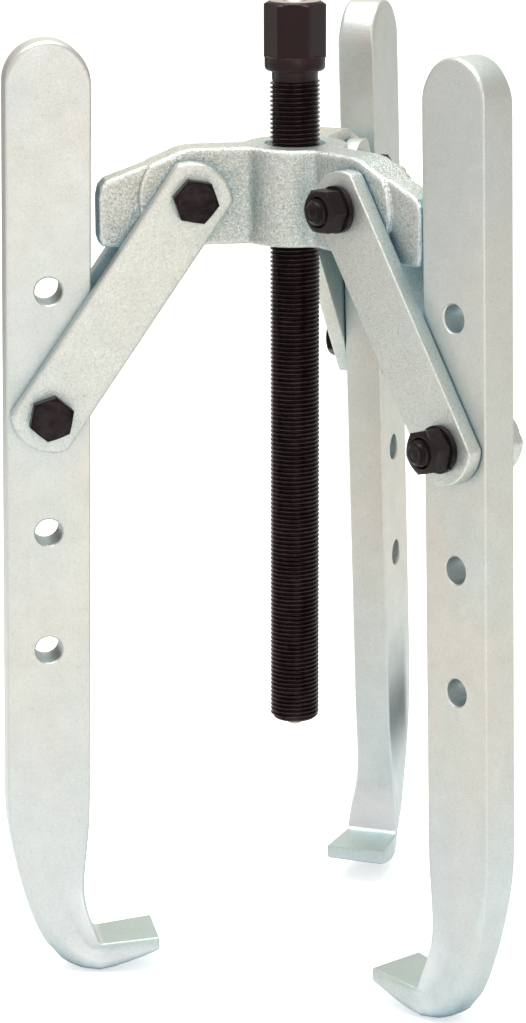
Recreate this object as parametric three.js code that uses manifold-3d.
// Three-arm gear puller: a forged three-arm yoke with a long forcing screw
// through its hub, and three bar jaws, each hung from its yoke arm by a pair of
// flat straps on two bolts.
// Units are millimetres, +Z is up and the screw axis is the Z axis. Heights in
// the code are measured from a level 20 mm below the upper bolts; the group is
// then set down so that its origin is the centre of the hexagon's top face.
//
// Arm frame: x runs outward along the arm, z up, y across it. Bolt heads sit on
// the +y side of the arm, lock washers and nuts on the -y side.
import * as THREE from 'three';
import { mergeVertices } from 'three/addons/utils/BufferGeometryUtils.js';
import Module from 'manifold-3d';

// ---------------------------------------------------------------- dimensions
const FIT_CLEAR = 0.2;         // diametral clearance of the hub bore and bolt holes
const GAP = 0.3;               // gap between clamped faces
const CUT_OVERRUN = 1;         // how far a cutter runs past the face it breaks through

// Forcing screw, M22 x 2, from its lower end up
const SCREW_D = 22;
const SCREW_END_Z = -225.9;
const SCREW_END_CHAMFER = { radial: 1.4, axial: 2.2 };
const NECK_D = 20.5;
const NECK_BOTTOM = 69.9;
const NECK_TAPER_H = 1;        // taper from the shank up to the neck
const COLLAR_D = 26.9;
const COLLAR_BOTTOM = 73.9;
const COLLAR_CHAMFER = 1;      // on the collar's lower edge
const HEX_BOTTOM = 80;
const HEX_TOP = 104.4;
const HEX_AF = 24;             // across flats
const HEX_TURN = 25.5;         // turn about the screw axis, degrees
const HEX_SINK = 0.5;          // overlap of the hexagon into the collar
const HEX_TOP_D = HEX_AF - 1.2; // chamfer circle on the top face
const HEX_CONE_SLOPE = 1.4;    // radius gained per millimetre down the chamfer cone
const HEX_CONE_BOTTOM = HEX_BOTTOM - 4;

// Captive thrust ball
const BALL_D = 10.6;
const BALL_Z = -224.5;
const BALL_CLEAR = 0.4;        // between the ball and its socket

// Yoke
const YOKE_BOTTOM = -1.7;
const YOKE_TOP = 41.5;
const HUB_R = 23.5;
const BORE_D = SCREW_D + FIT_CLEAR;
const BORE_MOUTH_D = 27;       // 45 degree countersink at the top of the hub
const ARM_START_R = 14;        // inner end of an arm, buried in the hub
const ARM_END_R = 88.6;
const ARM_BOSS_T = 17.4;       // arm thickness across the strap bosses
const ARM_TIP_T = 12.6;        // arm thickness outside the bosses
const BOSS_R = 23.5;
const BOSS_ARC_END = 56;       // upper end of the boss arc, degrees above the arm's x axis
const BOSS_ARC_STEPS = 16;
const SHOULDER_X = 52.5;       // arm outline corner where the boss outline reaches the top
const PIVOT_R = 47.7;          // upper bolt, distance from the screw axis
const PIVOT_Z = 20;            // upper bolt height

// Straps
const STRAP_L = 115;           // between bolt centres
const STRAP_W = 30;
const STRAP_T = 7.5;
const STRAP_END_R = 19;
const STRAP_END_IN = 2.9;      // centre of the end radius, inward from the bolt
const STRAP_ARC_STEPS = 10;
const STRAP_IN = ARM_BOSS_T / 2 + GAP; // inner face, from the arm mid-plane
const STRAP_OUT = STRAP_IN + STRAP_T;

// M12 bolts with lock washers and nuts
const BOLT_D = 12;
const BOLT_HOLE_D = BOLT_D + FIT_CLEAR;
const BOLT_AF = 18;            // across flats of heads and nuts
const BOLT_STICKOUT = 3.4;     // shank beyond the nut
const HEAD_H = 5.4;
const HEAD_IN = STRAP_OUT + GAP;
const SHANK_SINK = 1;          // overlap of the shank into the head
const WASHER_D = 21;
const WASHER_BORE_D = BOLT_D + 0.6;
const WASHER_H = 2.4;
const WASHER_IN = STRAP_OUT + GAP;
const NUT_H = 9;
const NUT_IN = WASHER_IN + WASHER_H + GAP;
const NUT_OUT = NUT_IN + NUT_H;

// Jaw bars
const JAW_HALF_W = 37.7 / 2;
const JAW_HALF_T = 17.2 / 2;
const JAW_PITCH = 55;          // spacing of the four jaw holes
const JAW_TOP = 165.2;         // jaw top above the bolt hole in use
const JAW_STRAIGHT_END = 160;  // end of the parallel bar, below that hole
const JAW_ARC_START = 10;      // where the rounded top starts beside its flat, degrees
const JAW_ARC_STEPS = 7;
const LIP_HALF_T = 29.4 / 2;   // hook lip at its end

// All angles in degrees: arm azimuth, strap from the vertical, tilt of the jaw
// bar, and the [upper, lower] turns of the bolt heads and of the nuts
const ARMS = [
  { id: 'a', azimuth: 190.33, strap: 34.55, tilt: 0.97, headTurns: [-23.5, 7], nutTurns: [-6.5, 24] },
  { id: 'b', azimuth: 310.33, strap: 35.07, tilt: 1.6, headTurns: [10, 30], nutTurns: [27, 41] },
  { id: 'c', azimuth: 70.33, strap: 37.7, tilt: 5.3, headTurns: [18, -8], nutTurns: [35, 9] },
];

// ------------------------------------------------------------------ materials
const ZINC = { color: 0xc9cbc6, roughness: 0.42, metalness: 0.75 };
const ZINC_FORGED = { color: 0xbfc3be, roughness: 0.55, metalness: 0.7 };
const OXIDE = { color: 0x1d1a1a, roughness: 0.45, metalness: 0.5 };
const BARE = { color: 0xb9b6ae, roughness: 0.3, metalness: 0.9 };

// -------------------------------------------------------------------- helpers
const wasm = await Module();
wasm.setup();

const radians = THREE.MathUtils.degToRad;

// Welds on position alone, so normals and texture coordinates go first
function toManifold(geometry) {
  geometry.deleteAttribute('normal');
  geometry.deleteAttribute('uv');
  const welded = mergeVertices(geometry, 1e-4);
  return new wasm.Manifold(new wasm.Mesh({
    numProp: 3,
    vertProperties: new Float32Array(welded.attributes.position.array),
    triVerts: new Uint32Array(welded.index.array),
  }));
}

function toGeometry(solid) {
  const mesh = solid.getMesh();
  const geometry = new THREE.BufferGeometry();
  geometry.setAttribute(
    'position',
    new THREE.BufferAttribute(new Float32Array(mesh.vertProperties), 3),
  );
  geometry.setIndex(new THREE.BufferAttribute(new Uint32Array(mesh.triVerts), 1));
  geometry.computeVertexNormals();
  return geometry;
}

function add(parent, name, solid, look) {
  const mesh = new THREE.Mesh(toGeometry(solid), new THREE.MeshStandardMaterial(look));
  mesh.name = name;
  parent.add(mesh);
  return mesh;
}

function addGroup(parent, name) {
  const child = new THREE.Group();
  child.name = name;
  parent.add(child);
  return child;
}

// Outline given in (x, z), extruded along y from y0 to y1
function plate(outline, y0, y1) {
  const shape = new THREE.Shape(outline.map(([x, z]) => new THREE.Vector2(x, z)));
  const geometry = new THREE.ExtrudeGeometry(shape, {
    depth: y1 - y0,
    bevelEnabled: false,
    curveSegments: 1,
  });
  geometry.rotateX(Math.PI / 2);
  geometry.translate(0, y1, 0);
  return toManifold(geometry);
}

// Round bar along y, centred on (x, z)
function roundY(diameter, y0, y1, x = 0, z = 0) {
  const segments = 24;
  const geometry = new THREE.CylinderGeometry(diameter / 2, diameter / 2, y1 - y0, segments);
  geometry.rotateY(Math.PI / segments);
  geometry.translate(x, (y0 + y1) / 2, z);
  return toManifold(geometry);
}

// Cutter for a hole along y through a part that spans y0 to y1
function holeY(diameter, y0, y1, x = 0, z = 0) {
  return roundY(diameter, y0 - CUT_OVERRUN, y1 + CUT_OVERRUN, x, z);
}

// Round or tapered bar along z, lowerD across at z0 and upperD at z1
function roundZ(lowerD, upperD, z0, z1, segments = 36) {
  const geometry = new THREE.CylinderGeometry(upperD / 2, lowerD / 2, z1 - z0, segments);
  geometry.rotateX(Math.PI / 2);
  geometry.translate(0, 0, (z0 + z1) / 2);
  return toManifold(geometry);
}

// Hexagonal prism along y, with a corner at the angle turn from x towards z
function hexY(acrossFlats, y0, y1, turn) {
  const cornerR = acrossFlats / Math.sqrt(3);
  const geometry = new THREE.CylinderGeometry(cornerR, cornerR, y1 - y0, 6);
  geometry.rotateY(Math.PI / 6 - radians(turn));
  geometry.translate(0, (y0 + y1) / 2, 0);
  return toManifold(geometry);
}

// Points (x, z) on an arc, both ends included; angles in radians from x towards z
function arcPoints(centreX, centreZ, radius, start, end, steps) {
  return Array.from({ length: steps + 1 }, (_, i) => {
    const angle = start + ((end - start) * i) / steps;
    return [centreX + radius * Math.cos(angle), centreZ + radius * Math.sin(angle)];
  });
}

// ----------------------------------------------------------------------- yoke
// Side view of an arm as (x, z): underside, rounded outer end, then the sloping
// top back to the hub
const ARM_OUTLINE = [
  [ARM_START_R, YOKE_BOTTOM],
  [ARM_END_R - 4, YOKE_BOTTOM], [ARM_END_R - 1, YOKE_BOTTOM + 1.2], [ARM_END_R, YOKE_BOTTOM + 4.2],
  [ARM_END_R, 20.5], [87.7, 25.2], [85.2, 28.2], [82, 29.4],
  [66.5, 34.9], [57, 38.7], [SHOULDER_X, 40.6], [47.5, YOKE_TOP],
  [ARM_START_R, YOKE_TOP],
];

// Side view of the raised boss, its arc starting at the underside of the yoke
function bossOutline() {
  const start = -Math.asin((PIVOT_Z - YOKE_BOTTOM) / BOSS_R);
  return [
    [ARM_START_R, YOKE_BOTTOM],
    ...arcPoints(PIVOT_R, PIVOT_Z, BOSS_R, start, radians(BOSS_ARC_END), BOSS_ARC_STEPS),
    [SHOULDER_X, YOKE_TOP],
    [ARM_START_R, YOKE_TOP],
  ];
}

function buildYokeArm() {
  const tip = plate(ARM_OUTLINE, -ARM_TIP_T / 2, ARM_TIP_T / 2);
  // the boss is trimmed to the arm's side view
  const boss = plate(bossOutline(), -ARM_BOSS_T / 2, ARM_BOSS_T / 2)
    .intersect(plate(ARM_OUTLINE, -ARM_BOSS_T, ARM_BOSS_T));
  return tip.add(boss)
    .subtract(holeY(BOLT_HOLE_D, -ARM_BOSS_T / 2, ARM_BOSS_T / 2, PIVOT_R, PIVOT_Z));
}

function buildYoke() {
  let yoke = roundZ(2 * HUB_R, 2 * HUB_R, YOKE_BOTTOM, YOKE_TOP, 48);
  const yokeArm = buildYokeArm();
  for (const { azimuth } of ARMS) {
    yoke = yoke.add(yokeArm.rotate([0, 0, azimuth]));
  }
  const mouthDepth = (BORE_MOUTH_D - BORE_D) / 2;
  return yoke
    .subtract(roundZ(BORE_D, BORE_D, YOKE_BOTTOM - CUT_OVERRUN, YOKE_TOP + CUT_OVERRUN))
    .subtract(roundZ(BORE_D, BORE_MOUTH_D, YOKE_TOP - mouthDepth, YOKE_TOP));
}

// ------------------------------------------------------- forcing screw and ball
// Shank, neck and collar in one turning, the thread drawn as a plain cylinder
function buildShank() {
  const profile = [ // radius, z
    [0, SCREW_END_Z],
    [SCREW_D / 2 - SCREW_END_CHAMFER.radial, SCREW_END_Z],
    [SCREW_D / 2, SCREW_END_Z + SCREW_END_CHAMFER.axial],
    [SCREW_D / 2, NECK_BOTTOM - NECK_TAPER_H],
    [NECK_D / 2, NECK_BOTTOM],
    [NECK_D / 2, COLLAR_BOTTOM],
    [COLLAR_D / 2 - COLLAR_CHAMFER, COLLAR_BOTTOM],
    [COLLAR_D / 2, COLLAR_BOTTOM + COLLAR_CHAMFER],
    [COLLAR_D / 2, HEX_BOTTOM],
    [0, HEX_BOTTOM],
  ].map(([radius, z]) => new THREE.Vector2(radius, z));
  // the lathe turns about y, and the quarter turn sends y to z
  const geometry = new THREE.LatheGeometry(profile, 36);
  geometry.rotateX(Math.PI / 2);
  return toManifold(geometry);
}

// Wrench hexagon, its top corners chamfered by a cone
function buildScrewHex() {
  const cornerD = (2 * HEX_AF) / Math.sqrt(3);
  const coneLowerD = HEX_TOP_D + 2 * HEX_CONE_SLOPE * (HEX_TOP - HEX_CONE_BOTTOM);
  return roundZ(cornerD, cornerD, HEX_BOTTOM - HEX_SINK, HEX_TOP, 6)
    .intersect(roundZ(coneLowerD, HEX_TOP_D, HEX_CONE_BOTTOM, HEX_TOP))
    .rotate([0, 0, HEX_TURN]);
}

function buildScrew() {
  const socketD = BALL_D + 2 * BALL_CLEAR;
  const socketTop = BALL_Z + socketD / 2;
  return buildShank()
    .add(buildScrewHex())
    .subtract(roundZ(socketD, socketD, SCREW_END_Z - CUT_OVERRUN, socketTop, 24));
}

function buildBall() {
  const geometry = new THREE.SphereGeometry(BALL_D / 2, 20, 12);
  geometry.translate(0, 0, BALL_Z);
  return toManifold(geometry);
}

// -------------------------------------------------------------------- jaw bar
// Stations down the bar, each a cut from its inner edge to its outer edge.
// Columns: along inner, across inner, along outer, across outer, half thickness
// inner, half thickness outer. Along is measured down the bar from the hole in
// use, across outward from the bar's centre line.
const JAW_HOOK_STATIONS = [
  [JAW_STRAIGHT_END, -JAW_HALF_W, JAW_STRAIGHT_END, JAW_HALF_W, JAW_HALF_T, JAW_HALF_T],
  [180, -18.8, 184, 18.2, JAW_HALF_T, JAW_HALF_T],
  [197, -18.3, 204, 16.3, JAW_HALF_T, JAW_HALF_T],
  [209, -17.3, 219, 13.4, JAW_HALF_T, JAW_HALF_T],
  [220, -16.3, 231, 10.4, 9.2, JAW_HALF_T],
  [230, -16.4, 243, 6.2, 10.3, 8.7],
  [239, -18.3, 253.6, 1.2, 11.8, 9.2],
  [246.5, -20.8, 261.4, -5.3, 12.6, 10.2],
  [251.2, -23.2, 265.6, -12.8, 12.8, 11.4],
  [252.3, -25.3, 267.0, -21.2, 12.9, 12.3],
  [251.6, -32.5, 263.2, -33.5, 13.6, 13.4],
  [249.9, -50.4, 256.4, -50.9, LIP_HALF_T, LIP_HALF_T],
];

// Stations round the top of the bar, in the same columns
function jawTopStations() {
  const start = radians(JAW_ARC_START);
  const arc = arcPoints(0, 0, JAW_HALF_W, start, Math.PI / 2, JAW_ARC_STEPS);
  return arc.map(([rise, across]) => {
    const along = -JAW_TOP + JAW_HALF_W - rise;
    return [along, -across, along, across, JAW_HALF_T, JAW_HALF_T];
  });
}

function buildJaw() {
  const stations = [...jawTopStations(), ...JAW_HOOK_STATIONS];
  const positions = stations.flatMap(([alongIn, acrossIn, alongOut, acrossOut, halfIn, halfOut]) => [
    acrossIn, -halfIn, -alongIn,
    acrossOut, -halfOut, -alongOut,
    acrossOut, halfOut, -alongOut,
    acrossIn, halfIn, -alongIn,
  ]);
  const index = [];
  const quad = (a, b, c, d) => index.push(a, b, c, a, c, d);
  const last = 4 * (stations.length - 1);
  for (let base = 0; base < last; base += 4) {
    for (let side = 0; side < 4; side += 1) {
      const next = (side + 1) % 4;
      quad(base + side, base + 4 + side, base + 4 + next, base + next);
    }
  }
  quad(0, 1, 2, 3);
  quad(last + 3, last + 2, last + 1, last);
  const geometry = new THREE.BufferGeometry();
  geometry.setAttribute('position', new THREE.Float32BufferAttribute(positions, 3));
  geometry.setIndex(index);

  let jaw = toManifold(geometry);
  // one hole above the one in use, two below it
  for (let n = -1; n <= 2; n += 1) {
    jaw = jaw.subtract(holeY(BOLT_HOLE_D, -JAW_HALF_T, JAW_HALF_T, 0, -n * JAW_PITCH));
  }
  return jaw;
}

// --------------------------------------------------------- straps and fasteners
// Flat bar with arc ends, hanging down from the upper bolt at the origin
function buildStrap(y0, y1) {
  const halfArc = Math.asin(STRAP_W / 2 / STRAP_END_R);
  const endArc = (z, middle) => arcPoints(
    0, z, STRAP_END_R, middle - halfArc, middle + halfArc, STRAP_ARC_STEPS,
  );
  const outline = [
    ...endArc(-STRAP_END_IN, Math.PI / 2),
    ...endArc(STRAP_END_IN - STRAP_L, -Math.PI / 2),
  ];
  return plate(outline, y0, y1)
    .subtract(holeY(BOLT_HOLE_D, y0, y1))
    .subtract(holeY(BOLT_HOLE_D, y0, y1, 0, -STRAP_L));
}

function buildBolt(turn) {
  return hexY(BOLT_AF, HEAD_IN, HEAD_IN + HEAD_H, turn)
    .add(roundY(BOLT_D, -(NUT_OUT + BOLT_STICKOUT), HEAD_IN + SHANK_SINK));
}

function buildWasher() {
  const outer = WASHER_IN + WASHER_H;
  return roundY(WASHER_D, -outer, -WASHER_IN)
    .subtract(holeY(WASHER_BORE_D, -outer, -WASHER_IN));
}

function buildNut(turn) {
  return hexY(BOLT_AF, -NUT_OUT, -NUT_IN, turn)
    .subtract(holeY(BOLT_HOLE_D, -NUT_OUT, -NUT_IN));
}

// ------------------------------------------------------------------- assembly
// Straps, fasteners and jaw of one arm
function addLinkage(parent, { id, azimuth, strap, tilt, headTurns, nutTurns }) {
  const frame = addGroup(parent, `arm_${id}`);
  frame.rotation.z = radians(azimuth);

  const link = addGroup(frame, `link_${id}`);
  link.position.set(PIVOT_R, 0, PIVOT_Z);
  link.rotation.y = -radians(strap);
  add(link, `strap_${id}_head_side`, buildStrap(STRAP_IN, STRAP_OUT), ZINC);
  add(link, `strap_${id}_nut_side`, buildStrap(-STRAP_OUT, -STRAP_IN), ZINC);
  ['upper', 'lower'].forEach((end, i) => {
    const z = -i * STRAP_L;
    add(link, `bolt_${id}_${end}`, buildBolt(headTurns[i]), OXIDE).position.z = z;
    add(link, `washer_${id}_${end}`, buildWasher(), OXIDE).position.z = z;
    add(link, `nut_${id}_${end}`, buildNut(nutTurns[i]), OXIDE).position.z = z;
  });

  // the jaw hangs on the lower bolt with a tilt of its own
  const jaw = add(frame, `jaw_${id}`, buildJaw(), ZINC);
  jaw.position.set(
    PIVOT_R + STRAP_L * Math.sin(radians(strap)),
    0,
    PIVOT_Z - STRAP_L * Math.cos(radians(strap)),
  );
  jaw.rotation.y = -radians(tilt);
}

const group = new THREE.Group();
group.name = 'gear_puller';
add(group, 'yoke', buildYoke(), ZINC_FORGED);
add(group, 'forcing_screw', buildScrew(), OXIDE);
add(group, 'thrust_ball', buildBall(), BARE);
for (const arm of ARMS) {
  addLinkage(group, arm);
}
group.position.z = -HEX_TOP;

export default group;
